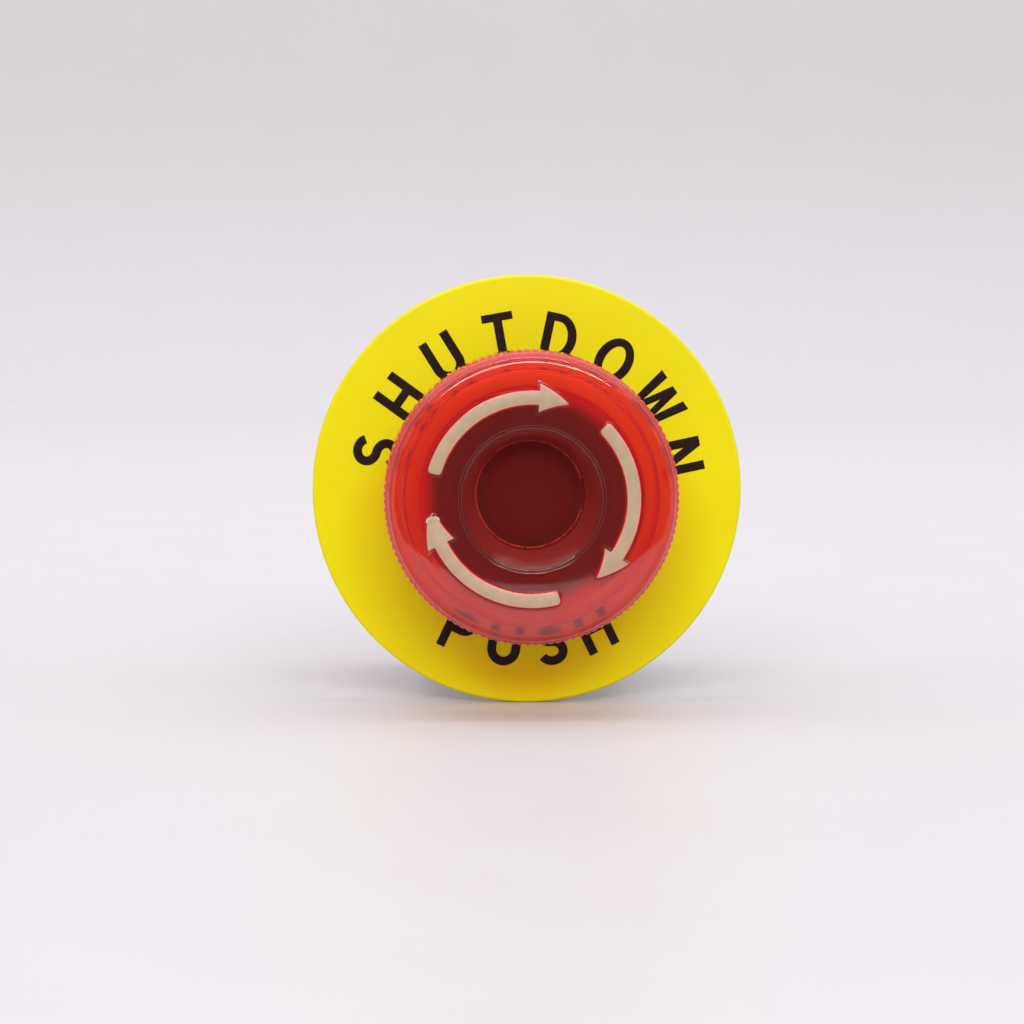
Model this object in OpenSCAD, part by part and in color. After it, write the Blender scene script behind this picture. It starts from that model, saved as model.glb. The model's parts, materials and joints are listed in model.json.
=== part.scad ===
// Illuminated emergency stop operator for a 22 mm panel hole, with a 60 mm
// legend plate, a twist-release mushroom head, a lamp block and two contact blocks.
// Every piece is drawn on its own axis: +z towards the person who presses, +y up,
// z = 0 at the front of the panel. in_frame() then turns the axis to face -Y.

/* [Legend plate] */
// Outer diameter of the round plate
plate_d = 60; // [56:1:64]
// Thickness of the plate
plate_t = 1.5; // [1.2:0.1:1.5]
// Diameter of the hole that drops over the barrel
plate_hole_d = 22.5; // [22.3:0.1:22.8]

/* [Barrel] */
// Diameter of the plain land that sits in the panel hole
barrel_d = 22; // [21.9:0.05:22.1]
// Length of that plain land
land_len = 2; // [1.5:0.5:2.5]
// Length of the barrel behind the panel's front face
barrel_len = 17; // [16.9:0.1:17.2]
// Pitch of the mounting thread
thread_pitch = 1.5; // [1:0.25:1.5]
// Number of ribs round the bezel
bezel_ribs = 48; // [24:12:60]

/* [Head] */
// Diameter of the head over its knurl
head_d = 40; // [39:0.5:42]
// Distance from the panel to the top of the head
head_top = 22.6; // [22.4:0.1:23]
// Distance from the panel to the back of the head's skirt
head_back = 10; // [9.5:0.5:10.5]
// Diameter of the finger recess at its mouth
recess_d = 18.8; // [18:0.2:19.2]
// Depth of the finger recess
recess_depth = 9.1; // [8.9:0.1:9.2]
// Number of ribs in the knurl
knurl_ribs = 120; // [60:12:120]
// Height of the arrows above the face of the head
arrow_rise = 0.5; // [0.3:0.1:0.6]

/* [Motion] */
// How far the head moves when it is pressed
travel = 4.5; // [4:0.1:4.5]
// How far the head turns to release, in degrees
twist = 45; // [30:5:45]
// How far each latch pawl draws in over that turn
pawl_draw = 0.9; // [0.7:0.1:0.9]

/* [Blocks] */
// Width of each block
block_w = 10; // [10:0.2:10.4]
// Height of each block
block_h = 36; // [34:1:38]
// Depth of each block
block_depth = 25.5; // [25:0.5:27]
// Diameter of the lamp's glass
lamp_d = 10; // [9.6:0.1:10.2]

/* [Hidden] */
$fn = 96;
eps = 0.01;

// running clearance of a guided plastic part, and the play of a free one
fit = 0.05;
play = 0.2;

plate_r = plate_d / 2;
barrel_r = barrel_d / 2;
barrel_end = -barrel_len;
neck_r = barrel_r - 0.3;
bore_r = 9.2;
lip_r = 7.38;
lip_t = 1.5;
spring_seat = barrel_end + lip_t;
land_front = 0.1;
thread_crest = barrel_r - 0.25;
thread_root = thread_crest - 0.7;

gasket_t = 1.5;
gasket_r = 13.8;
flange_back = plate_t + gasket_t;
flange_front = 7.8;
flange_r = 14;
seal_r = 11.5;
seal_back = 6.5;
key_w = 3;
key_r = 12.6;

head_r = head_d / 2;
knurl_valley = head_r - 0.25;
knurl_top = head_top - 2.2;
skirt_in_r = head_r - 2.6;
shoulder_r = head_r - 0.6;
shoulder_round = 1.2;
recess_r = recess_d / 2;
recess_floor_r = recess_r - 1.5;
mouth_r = recess_r + 0.65;
mouth_top = head_top - 0.15;
face_t = 2.8;
recess_floor = head_top - recess_depth;
floor_back = recess_floor - 1.5;
stem_r = 7.5;
stem_bore = 6.2;
stem_end = 8.3;
clip_back = 9.2;
clip_t = 0.8;

// the arrows: middle radius, width, half width of the point, and their angles in degrees
arrow_mid = 13.7;
arrow_w = 1.65;
arrow_head_half = 1.85;
arrow_head_len = 16.5;
arrow_sweep = 93.5;
arrow_tail = 163;

core_socket_r = 9;
core_socket_front = 11.5;
core_r = 7.55;
core_bore = 6;
core_back = -3.8;
sleeve_front = 6.7;
sleeve_r = bore_r - fit;
sleeve_bore = core_r + fit;
sleeve_back = -4;

pawl_w = 4;
pawl_nose_w = 1.6;
pawl_back = 3.6;
pawl_front = 5.6;
pawl_tip_r = 10;
pawl_nose_r = 7.7;
slot_r = 10.2;
slot_back = pawl_back - travel - 0.3;
slot_front = pawl_front + play;

tail_r = lip_r - 0.08;
tail_end = barrel_end - 0.6;
ledge_front = -8.2;
ledge_back = -9.4;
pusher_t = 2;
pusher_back = tail_end - pusher_t;
rod_tip = pusher_back - 0.1;
rod_w = 3;

washer_front = -3;
washer_t = 0.8;
nut_front = washer_front - washer_t - 0.1;
nut_t = 5;
nut_flats = 28;
lever_front = -12.6;
lever_back = -14.4;

base_front = -14.6;
base_wall = 1.6;
base_screw_y = block_h / 2 - 3;
screw_head_r = 2.7;
screw_head_front = base_front - 0.1;
screw_head_back = screw_head_front - 1.5;
block_front = rod_tip - travel - 0.3;
block_back = block_front - block_depth;
base_w = 3 * block_w;
base_h = block_h + 2;

case_w = block_w - 0.2;
cover_t = 1.2;
cover_side = case_w / 2;
cover_in = cover_side - cover_t;
case_wall = 1.2;
room_front = block_front - 1.5;
room_back = block_back + 1.5;
terminal_y = 13;
pad_front = block_back + 6;
strip_t = 0.8;
strip_w = 4;
tip_h = 0.6;
tip_y = 5;
bridge_l = 13;
nc_arm = block_front - 8.5;
no_arm = block_front - 15;
nc_bridge_front = nc_arm - strip_t - 2 * tip_h;
no_bridge_front = no_arm + 2 * tip_h + strip_t + travel + fit;
rod_end = block_front - 15.5;

lamp_top = 5;
lamp_glass_back = -9.2;
cap_r = 4.55;
cap_back = block_front + 1.6;
button_r = 1.8;
socket_r = 5.1;
socket_bore = 4.65;
socket_front = -11;

// ---- shared shapes ----

module in_frame() {
    rotate([90, 0, 0]) children();
}

module disc(r, z_back, z_front) {
    translate([0, 0, z_back]) cylinder(r = r, h = z_front - z_back);
}

module ring(r_out, r_in, z_back, z_front) {
    difference() {
        disc(r_out, z_back, z_front);
        disc(r_in, z_back - 1, z_front + 1);
    }
}

module box(low, high) {
    translate(low) cube(high - low);
}

// a round outline with triangular ribs, crest to crest over 2 * crest_r
module ribbed_outline(count, crest_r, valley_r) {
    polygon([
        for (i = [0 : 2 * count - 1])
            let (r = i % 2 == 0 ? crest_r : valley_r, a = 180 * i / count)
                [r * cos(a), r * sin(a)]
    ]);
}

// a coil of round wire whose centre line runs from z_back to z_front
module coil(mean_r, wire_d, z_back, z_front, turns, steps = 20, sides = 6) {
    rings = turns * steps;
    lift = (z_front - z_back) / rings;
    points = [
        for (i = [0 : rings], j = [0 : sides - 1])
            let (a = 360 * i / steps, b = 360 * j / sides, r = mean_r + wire_d / 2 * cos(b))
                [r * cos(a), r * sin(a), z_back + i * lift + wire_d / 2 * sin(b)]
    ];
    sides_faces = [
        for (i = [0 : rings - 1], j = [0 : sides - 1])
            let (k = (j + 1) % sides, low = i * sides, high = low + sides)
                [low + j, high + j, high + k, low + k]
    ];
    first = [for (j = [0 : sides - 1]) j];
    last = [for (j = [sides - 1 : -1 : 0]) rings * sides + j];
    polyhedron(points, concat(sides_faces, [first, last]));
}

// a cross-recessed screw head and shank, head towards -z
module terminal_screw(head_r, head_t, shank_r, z_head, z_tip) {
    difference() {
        union() {
            disc(head_r, z_head, z_head + head_t);
            disc(shank_r, z_head, z_tip);
        }
        for (turn = [0, 90])
            translate([0, 0, z_head + 0.35])
                rotate(turn)
                    cube([head_r * 1.3, 0.6, 0.8], center = true);
    }
}

// ---- legend plate, seals and housing ----

module legend_plate() {
    color("gold") in_frame() difference() {
        rotate_extrude() polygon([
            [plate_hole_d / 2, 0],
            [plate_r, 0],
            [plate_r, plate_t - 0.4],
            [plate_r - 0.4, plate_t],
            [plate_hole_d / 2, plate_t]
        ]);
        box([-key_w / 2 - play, 10, -1], [key_w / 2 + play, key_r + play, plate_t + 1]);
    }
}

module front_gasket() {
    color("dimgray") in_frame() ring(gasket_r, neck_r + 0.1, plate_t, flange_back);
}

module thread_body() {
    crests = floor((barrel_len - land_len) / thread_pitch);
    start = -land_len;
    rotate_extrude() polygon(concat(
        [[bore_r - 2.2, start], [thread_crest, start]],
        [for (i = [0 : crests - 1]) each [
            [thread_crest, start - (i + 0.3) * thread_pitch],
            [thread_root, start - (i + 0.6) * thread_pitch],
            [thread_crest, start - (i + 0.9) * thread_pitch]
        ]],
        [[thread_crest - 0.4, barrel_end], [bore_r - 2.2, barrel_end]]
    ));
}

module bezel_housing() {
    color("#1a1a1c") in_frame() difference() {
        union() {
            intersection() {
                translate([0, 0, flange_back])
                    linear_extrude(flange_front - flange_back)
                        ribbed_outline(bezel_ribs, flange_r + 0.3, flange_r);
                rotate_extrude() polygon([
                    [0, flange_back],
                    [flange_r + 0.5, flange_back],
                    [flange_r + 0.5, flange_front - 0.9],
                    [flange_r - 0.6, flange_front],
                    [0, flange_front]
                ]);
            }
            disc(neck_r, -eps, flange_back + eps);
            disc(barrel_r, -land_len, land_front);
            box([-key_w / 2, neck_r - 1, 0], [key_w / 2, key_r, plate_t]);
            thread_body();
        }
        disc(bore_r, spring_seat, flange_front + 1);
        disc(lip_r, barrel_end - 1, spring_seat + 1);
        disc(seal_r, seal_back, flange_front + 1);
        intersection() {
            disc(slot_r, slot_back, slot_front);
            box([-20, -pawl_w / 2 - 0.3, slot_back], [20, pawl_w / 2 + 0.3, slot_front]);
        }
    }
}

module stem_seal() {
    color("#303030") in_frame() rotate_extrude() polygon([
        [bore_r + 0.3, seal_back],
        [seal_r, seal_back],
        [seal_r, flange_front - 0.3],
        [seal_r - 0.8, flange_front],
        [core_socket_r + play, flange_front],
        [core_socket_r + play, flange_front - 0.6]
    ]);
}

// ---- panel fixings ----

module lock_washer() {
    tooth = 1.6;
    color("silver") in_frame() difference() {
        disc(16, washer_front - washer_t, washer_front);
        disc(barrel_r + 0.3, washer_front - washer_t - 1, washer_front + 1);
        for (i = [0 : 11])
            rotate(30 * i)
                box([14.4, -tooth / 2, washer_front - 2], [17, tooth / 2, washer_front + 1]);
    }
}

module panel_nut() {
    color("#232326") in_frame() difference() {
        intersection() {
            translate([0, 0, nut_front - nut_t])
                cylinder(r = nut_flats / 2 / cos(30), h = nut_t, $fn = 6);
            rotate_extrude() polygon([
                [0, nut_front - nut_t],
                [nut_flats / 2 + 0.6, nut_front - nut_t],
                [nut_flats / 2 + 3, nut_front - nut_t + 1.4],
                [nut_flats / 2 + 3, nut_front],
                [0, nut_front]
            ]);
        }
        disc(thread_crest + fit, nut_front - nut_t - 1, nut_front + 1);
    }
}

module lock_lever() {
    tab_w = 6;
    tab_r = 20;
    color("#3a3a3e") in_frame() difference() {
        union() {
            disc(13.6, lever_back, lever_front);
            rotate(60) box([12, -tab_w / 2, lever_back], [tab_r, tab_w / 2, lever_front]);
            rotate(60) box([tab_r - 1.6, -tab_w / 2, lever_back], [tab_r, tab_w / 2, lever_front + 2]);
        }
        disc(barrel_r + 0.3, lever_back - 1, lever_front + 3);
    }
}

module block_base() {
    color("#1e1e20") in_frame() difference() {
        box([-base_w / 2, -base_h / 2, block_front], [base_w / 2, base_h / 2, base_front]);
        box([-base_w / 2 + base_wall, -base_h / 2 + base_wall, block_front - 1],
            [base_w / 2 - base_wall, base_h / 2 - base_wall, barrel_end]);
        disc(barrel_r + 0.1, barrel_end - 1, base_front + 1);
        for (side = [-1, 1]) translate([0, side * base_screw_y, 0]) {
            disc(1.65, barrel_end - 1, base_front + 1);
            disc(screw_head_r + play, screw_head_back - fit, base_front + 1);
        }
    }
}

module base_screws() {
    color("silver") in_frame() for (side = [-1, 1])
        translate([0, side * base_screw_y, 0]) difference() {
            union() {
                disc(screw_head_r, screw_head_back, screw_head_front);
                disc(1.5, block_front - 2.5, screw_head_front);
            }
            for (turn = [0, 90])
                translate([0, 0, screw_head_front - 0.3])
                    rotate(turn)
                        cube([3.4, 0.6, 0.8], center = true);
        }
}

// ---- head, arrows and the core that turns with them ----

module mushroom_head() {
    color([0.8, 0.12, 0.1, 0.75]) in_frame() union() {
        rotate_extrude() polygon(concat(
            [
                [0, floor_back],
                [stem_bore, floor_back],
                [stem_bore, stem_end],
                [stem_r, stem_end],
                [stem_r, clip_back],
                [stem_r - 0.25, clip_back],
                [stem_r - 0.25, clip_back + clip_t],
                [stem_r, clip_back + clip_t],
                [stem_r, floor_back + 0.4],
                [recess_floor_r + 1.3, floor_back + 0.7],
                [recess_r + 2, head_top - face_t],
                [skirt_in_r - 0.4, head_top - face_t],
                [skirt_in_r, head_top - face_t - 0.4],
                [skirt_in_r, head_back],
                [head_r - 0.8, head_back],
                [head_r - 0.5, head_back + 0.3],
                [head_r - 0.5, knurl_top + 0.1],
                [shoulder_r + 0.1, knurl_top + 0.3]
            ],
            [
                for (a = [0 : 15 : 90])
                    [shoulder_r, head_top] + shoulder_round * [cos(a) - 1, sin(a) - 1]
            ],
            [
                [mouth_r, head_top],
                [mouth_r, mouth_top],
                [recess_r + 0.2, mouth_top],
                [recess_r, mouth_top - 0.2],
                [recess_floor_r, recess_floor + 0.5],
                [recess_floor_r - 0.5, recess_floor],
                [0, recess_floor]
            ]
        ));
        translate([0, 0, head_back + 0.4]) linear_extrude(knurl_top - head_back - 0.4) difference() {
            ribbed_outline(knurl_ribs, head_r, knurl_valley);
            circle(r = head_r - 1);
        }
    }
}

// one curved arrow that starts at the angle `tail` and runs clockwise
module arrow_outline(tail) {
    steps = 16;
    neck = tail - arrow_sweep + arrow_head_len;
    tip = tail - arrow_sweep;
    polygon(concat(
        [for (i = [0 : steps]) let (a = tail + (neck - tail) * i / steps)
            (arrow_mid + arrow_w / 2) * [cos(a), sin(a)]],
        [
            (arrow_mid + arrow_head_half) * [cos(neck), sin(neck)],
            arrow_mid * [cos(tip), sin(tip)],
            (arrow_mid - arrow_head_half) * [cos(neck), sin(neck)]
        ],
        [for (i = [steps : -1 : 0]) let (a = tail + (neck - tail) * i / steps)
            (arrow_mid - arrow_w / 2) * [cos(a), sin(a)]]
    ));
}

module arrow_marks() {
    color("tan") in_frame() translate([0, 0, head_top]) linear_extrude(arrow_rise)
        for (turn = [0, 120, 240]) arrow_outline(arrow_tail - turn);
}

// the cam's outline: two lobes that hold the pawls out, each falling away anticlockwise
function cam_r(a) =
    let (from_lobe = (a + 180) % 180)
        from_lobe <= twist + 6 ? core_r - fit - pawl_draw * max(0, from_lobe) / twist
        : from_lobe < 165 ? core_r - fit - pawl_draw * (twist + 6) / twist
        : core_r - fit;

module knob_core() {
    lug = 12;
    color("#29292b") in_frame() difference() {
        union() {
            rotate_extrude() polygon([
                [core_r - 1.5, core_back],
                [core_r, core_back],
                [core_r, pawl_back - 0.3],
                [core_bore + 0.4, pawl_back - 0.3],
                [core_bore + 0.4, pawl_front + 0.3],
                [core_r, pawl_front + 0.3],
                [core_r, sleeve_front + 0.3],
                [core_socket_r, sleeve_front + 0.3],
                [core_socket_r, core_socket_front],
                [core_r - 1.5, core_socket_front]
            ]);
            translate([0, 0, pawl_back - 0.3])
                linear_extrude(pawl_front - pawl_back + 0.6)
                    polygon([for (a = [0 : 5 : 355]) cam_r(a) * [cos(a), sin(a)]]);
            rotate(270 - lug / 2)
                rotate_extrude(angle = lug)
                    translate([core_r - 0.5, -1.6])
                        square([1.3, 1.8]);
        }
        disc(core_bore, core_back - 1, core_socket_front + 1);
        disc(stem_r + 0.1, stem_end - 0.2, core_socket_front + 1);
        ring(stem_r + 0.35, stem_r - 1, clip_back, clip_back + clip_t);
        ring(core_r + 1, core_r - 0.6, core_back + 0.5, core_back + 1.4);
    }
}

module head_clip() {
    color("silver") in_frame() difference() {
        ring(stem_r + 0.3, stem_r - 0.2, clip_back + 0.05, clip_back + clip_t - 0.05);
        box([5, -2, clip_back - 1], [9, 2, clip_back + 2]);
    }
}

module core_circlip() {
    color("silver") in_frame() difference() {
        ring(core_r + 0.7, core_r - 0.55, core_back + 0.55, core_back + 1.35);
        box([5, -2.5, core_back], [10, 2.5, core_back + 3]);
    }
}

module twist_spring() {
    color("lightgray") in_frame() coil(5.95, 0.6, ledge_front + 0.35, sleeve_back + 0.05 - 0.35, 4);
}

// ---- plunger, which slides in the housing and carries the latch ----

module plunger_sleeve() {
    slack = 1;
    lug = 12;
    color("ivory") in_frame() difference() {
        disc(sleeve_r, sleeve_back, sleeve_front);
        disc(sleeve_bore, sleeve_back - 1, sleeve_front + 1);
        disc(core_r + 0.9, sleeve_back - 1, core_back + 1.55);
        rotate(270 - lug / 2 - slack - twist)
            rotate_extrude(angle = twist + lug + 2 * slack)
                polygon([[6, -6], [core_r + 0.95, -6], [core_r + 0.95, 0.4], [6, 0.4]]);
        box([-12, -pawl_w / 2 - 0.1, pawl_back - 0.1], [12, pawl_w / 2 + 0.1, pawl_front + 0.1]);
        ring(sleeve_r + 1, sleeve_r - 0.75, 4.2, 5);
    }
}

module plunger_tail() {
    color("ivory") in_frame() rotate_extrude() polygon([
        [6.5, sleeve_back],
        [sleeve_r - fit, sleeve_back],
        [sleeve_r - fit, sleeve_back - 1.2],
        [tail_r, sleeve_back - 1.2],
        [tail_r, tail_end],
        [6.2, tail_end],
        [6.2, ledge_back],
        [5.6, ledge_back],
        [5.6, ledge_front],
        [6.5, ledge_front]
    ]);
}

module pusher_bar() {
    reach = block_w + rod_w / 2 + 0.5;
    color("#d8d2c0") in_frame() difference() {
        union() {
            disc(8.2, pusher_back, tail_end);
            box([-reach, -2.4, pusher_back], [reach, 2.4, tail_end]);
        }
        disc(6.2, pusher_back - 1, tail_end + 1);
    }
}

module return_spring() {
    color("lightgray") in_frame() coil(8.2, 0.8, spring_seat + 0.45, sleeve_back - 1.2 - 0.45, 6);
}

// a pawl at +x: a wide outer body and a narrow nose that rides on the cam
module pawl() {
    difference() {
        union() {
            intersection() {
                disc(pawl_tip_r, pawl_back, pawl_front);
                box([8.2, -pawl_w / 2, pawl_back], [pawl_tip_r + 1, pawl_w / 2, pawl_front]);
            }
            box([pawl_nose_r, -pawl_nose_w / 2, pawl_back], [8.4, pawl_nose_w / 2, pawl_front]);
        }
        ring(sleeve_r + 0.05, sleeve_r - 0.75, 4.2, 5);
    }
}

module latch_pawl_left() {
    color("steelblue") in_frame() rotate(180) pawl();
}

module latch_pawl_right() {
    color("steelblue") in_frame() pawl();
}

module latch_ring_spring() {
    color("lightgray") in_frame() rotate(100) rotate_extrude(angle = 340)
        translate([sleeve_r - 0.4, 4.6]) circle(d = 0.5, $fn = 24);
}

// ---- contact blocks: local +x is the side that the cover closes ----

module at_block(place) {
    in_frame() translate([place * block_w, 0, 0]) mirror([place < 0 ? 1 : 0, 0, 0]) children();
}

module block_case(rod_hole) {
    difference() {
        box([-cover_side, -block_h / 2, block_back], [cover_in, block_h / 2, block_front]);
        box([-cover_side + case_wall, -block_h / 2 + case_wall, room_back],
            [cover_in + 1, block_h / 2 - case_wall, room_front]);
        if (rod_hole)
            box([-rod_w / 2 - play, -rod_w / 2 - play, room_front - 1],
                [rod_w / 2 + play, rod_w / 2 + play, block_front + 1]);
        for (side = [-1, 1]) {
            translate([0, side * terminal_y, 0]) disc(2.5, block_back - 1, room_back + 1);
            box([-2.2, side * block_h / 2 - 2, pad_front - 4.4],
                [2.2, side * block_h / 2 + 2, pad_front - 0.6]);
        }
    }
}

module block_cover() {
    difference() {
        box([cover_in, -block_h / 2, block_back], [cover_side, block_h / 2, block_front]);
        for (side = [-1, 1])
            translate([cover_in - 1, side * (block_h / 2 - 4), block_front - 6])
                rotate([0, 90, 0])
                    cylinder(r = 1.2, h = 4);
    }
}

// a push rod with a window for its bridge
module block_rod(bridge_front) {
    difference() {
        box([-rod_w / 2, -rod_w / 2, rod_end], [rod_w / 2, rod_w / 2, rod_tip]);
        box([-rod_w, -0.75, bridge_front - strip_t - 0.05], [rod_w, 0.75, bridge_front + 0.05]);
    }
}

// a bridge that carries two tips; facing is +1 when they look to the front
module block_bridge(bridge_front, facing) {
    tip_z = facing > 0 ? bridge_front : bridge_front - strip_t - tip_h;
    difference() {
        box([-1.8, -bridge_l / 2, bridge_front - strip_t], [1.8, bridge_l / 2, bridge_front]);
        for (side = [-1, 1])
            box([-rod_w / 2 - 0.05, side * 1.4 - 0.7, bridge_front - 3],
                [rod_w / 2 + 0.05, side * 1.4 + 0.7, bridge_front + 3]);
    }
    for (side = [-1, 1])
        translate([0, side * tip_y, tip_z]) cylinder(r = 1.3, h = tip_h);
}

// two strips that run from the contact tips to the terminals
module block_strips(arm, facing) {
    tip_z = facing > 0 ? arm : arm - strip_t - tip_h;
    for (side = [-1, 1]) mirror([0, side < 0 ? 1 : 0, 0]) {
        difference() {
            union() {
                box([-strip_w / 2, 3, arm - strip_t], [strip_w / 2, 9, arm]);
                box([-strip_w / 2, 9 - strip_t, pad_front - strip_t], [strip_w / 2, 9, arm]);
                box([-strip_w / 2, 9 - strip_t, pad_front - strip_t],
                    [strip_w / 2, block_h / 2 - case_wall - 0.4, pad_front]);
            }
            translate([0, terminal_y, 0]) disc(1.5, pad_front - 3, pad_front + 1);
        }
        translate([0, tip_y, tip_z]) cylinder(r = 1.3, h = tip_h);
    }
}

module block_clamps() {
    for (side = [-1, 1]) difference() {
        box([-2.8, side * terminal_y - 2.6, pad_front - strip_t - 1.1],
            [2.8, side * terminal_y + 2.6, pad_front - strip_t - 0.1]);
        translate([0, side * terminal_y, 0]) disc(1.6, pad_front - 3, pad_front + 1);
    }
}

module block_screws() {
    for (side = [-1, 1])
        translate([0, side * terminal_y, 0])
            terminal_screw(2.3, 1.5, 1.45, pad_front - strip_t - 1.1 - 1.5, pad_front + 3);
}

module block_spring() {
    coil(1.25, 0.4, room_back + 0.3, rod_end - 0.3, 7, 12, 6);
}

module nc_case() { color("firebrick") at_block(-1) block_case(true); }
module nc_cover() { color("firebrick") at_block(-1) block_cover(); }
module nc_rod() { color("ivory") at_block(-1) block_rod(nc_bridge_front); }
module nc_bridge() { color("goldenrod") at_block(-1) block_bridge(nc_bridge_front, 1); }
module nc_spring() { color("lightgray") at_block(-1) block_spring(); }
module nc_fixed_contacts() { color("goldenrod") at_block(-1) block_strips(nc_arm, -1); }
module nc_clamps() { color("silver") at_block(-1) block_clamps(); }
module nc_screws() { color("silver") at_block(-1) block_screws(); }

module no_case() { color("seagreen") at_block(1) block_case(true); }
module no_cover() { color("seagreen") at_block(1) block_cover(); }
module no_rod() { color("ivory") at_block(1) block_rod(no_bridge_front); }
module no_bridge() { color("goldenrod") at_block(1) block_bridge(no_bridge_front, -1); }
module no_spring() { color("lightgray") at_block(1) block_spring(); }
module no_fixed_contacts() { color("goldenrod") at_block(1) block_strips(no_arm, 1); }
module no_clamps() { color("silver") at_block(1) block_clamps(); }
module no_screws() { color("silver") at_block(1) block_screws(); }

// ---- lamp block ----

module lamp_case() {
    color("#2b2b2e") at_block(0) difference() {
        block_case(false);
        disc(2, room_front - 1, block_front + 1);
        for (side = [-1, 1])
            translate([0, side * (block_h / 2 - 3), 0]) disc(1.55, room_front - 1, block_front + 1);
    }
}

module lamp_cover() {
    color("#2b2b2e") at_block(0) block_cover();
}

// a bayonet shell with two slots for the cap's pins
module lamp_socket() {
    color("#b9a36a") in_frame() difference() {
        ring(socket_r, socket_bore, block_front, socket_front);
        for (turn = [0, 180]) rotate(turn) box([4, -0.9, socket_front - 6], [6, 0.9, socket_front + 1]);
    }
}

module lamp_insulator() {
    color("ivory") in_frame() ring(socket_bore - 0.1, 1.4, block_front, block_front + 1);
}

module lamp_centre_pin() {
    color("#b9a36a") in_frame() union() {
        disc(1.2, room_front - 1, cap_back - 0.05);
        disc(2.4, room_front - 1.6, room_front - 0.8);
    }
}

module lamp_pin_spring() {
    color("lightgray") in_frame() coil(1.8, 0.4, room_front - 7.7, room_front - 1.9, 6, 12, 6);
}

module lamp_strips() {
    color("goldenrod") at_block(0) union() {
        for (side = [-1, 1]) mirror([0, side < 0 ? 1 : 0, 0]) difference() {
            union() {
                box([-strip_w / 2, 9 - strip_t, pad_front - strip_t],
                    [strip_w / 2, block_h / 2 - case_wall - 0.4, pad_front]);
                box([-strip_w / 2, 9 - strip_t, pad_front - strip_t], [strip_w / 2, 9, room_front - 8]);
                box([-strip_w / 2, side > 0 ? -3 : 6, room_front - 8 - strip_t],
                    [strip_w / 2, 9, room_front - 8]);
            }
            translate([0, terminal_y, 0]) disc(1.5, pad_front - 3, pad_front + 1);
        }
    }
}

module lamp_clamps() {
    color("silver") at_block(0) block_clamps();
}

module lamp_screws() {
    color("silver") at_block(0) block_screws();
}

module lamp_cap() {
    color("#c9c4b4") in_frame() union() {
        ring(cap_r, cap_r - 0.5, cap_back + 0.6, lamp_glass_back);
        for (turn = [0, 180]) rotate(turn)
            translate([cap_r - 0.3, 0, socket_front - 4.6])
                rotate([0, 90, 0])
                    cylinder(r = 0.7, h = 0.9);
    }
}

// the black foot that closes the cap, and the solder button in its middle
module lamp_foot() {
    color("#202022") in_frame() ring(cap_r - 0.5, button_r, cap_back + 0.6, cap_back + 2);
}

module lamp_button() {
    color("lightgray") in_frame() disc(button_r, cap_back, cap_back + 2);
}

module lamp_glass() {
    glass_r = lamp_d / 2;
    inside_r = glass_r - 0.7;
    dome_z = lamp_top - glass_r;
    color([0.85, 0.2, 0.2, 0.6]) in_frame() rotate_extrude() polygon(concat(
        [[0, lamp_glass_back], [cap_r - 0.2, lamp_glass_back], [glass_r, lamp_glass_back + 1.5]],
        [for (a = [0 : 15 : 90]) [glass_r * cos(a), dome_z + glass_r * sin(a)]],
        [for (a = [90 : -15 : 0]) [inside_r * cos(a), dome_z + inside_r * sin(a)]],
        [[inside_r, lamp_glass_back + 2], [0, lamp_glass_back + 2]]
    ));
}

module lamp_led() {
    led_r = 2.4;
    color("white") in_frame() rotate_extrude() polygon(concat(
        [[0, lamp_glass_back + 2], [led_r + 0.3, lamp_glass_back + 2], [led_r + 0.3, lamp_glass_back + 3]],
        [for (a = [0 : 15 : 90]) [led_r * cos(a), lamp_glass_back + 7 + led_r * sin(a)]]
    ));
}

legend_plate();
front_gasket();
bezel_housing();
stem_seal();
lock_washer();
panel_nut();
lock_lever();
block_base();
base_screws();
mushroom_head();
arrow_marks();
knob_core();
head_clip();
core_circlip();
twist_spring();
plunger_sleeve();
plunger_tail();
pusher_bar();
return_spring();
latch_pawl_left();
latch_pawl_right();
latch_ring_spring();
nc_case();
nc_cover();
nc_rod();
nc_bridge();
nc_spring();
nc_fixed_contacts();
nc_clamps();
nc_screws();
no_case();
no_cover();
no_rod();
no_bridge();
no_spring();
no_fixed_contacts();
no_clamps();
no_screws();
lamp_case();
lamp_cover();
lamp_socket();
lamp_insulator();
lamp_centre_pin();
lamp_pin_spring();
lamp_strips();
lamp_clamps();
lamp_screws();
lamp_cap();
lamp_foot();
lamp_button();
lamp_glass();
lamp_led();
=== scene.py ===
import json
import math

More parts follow.
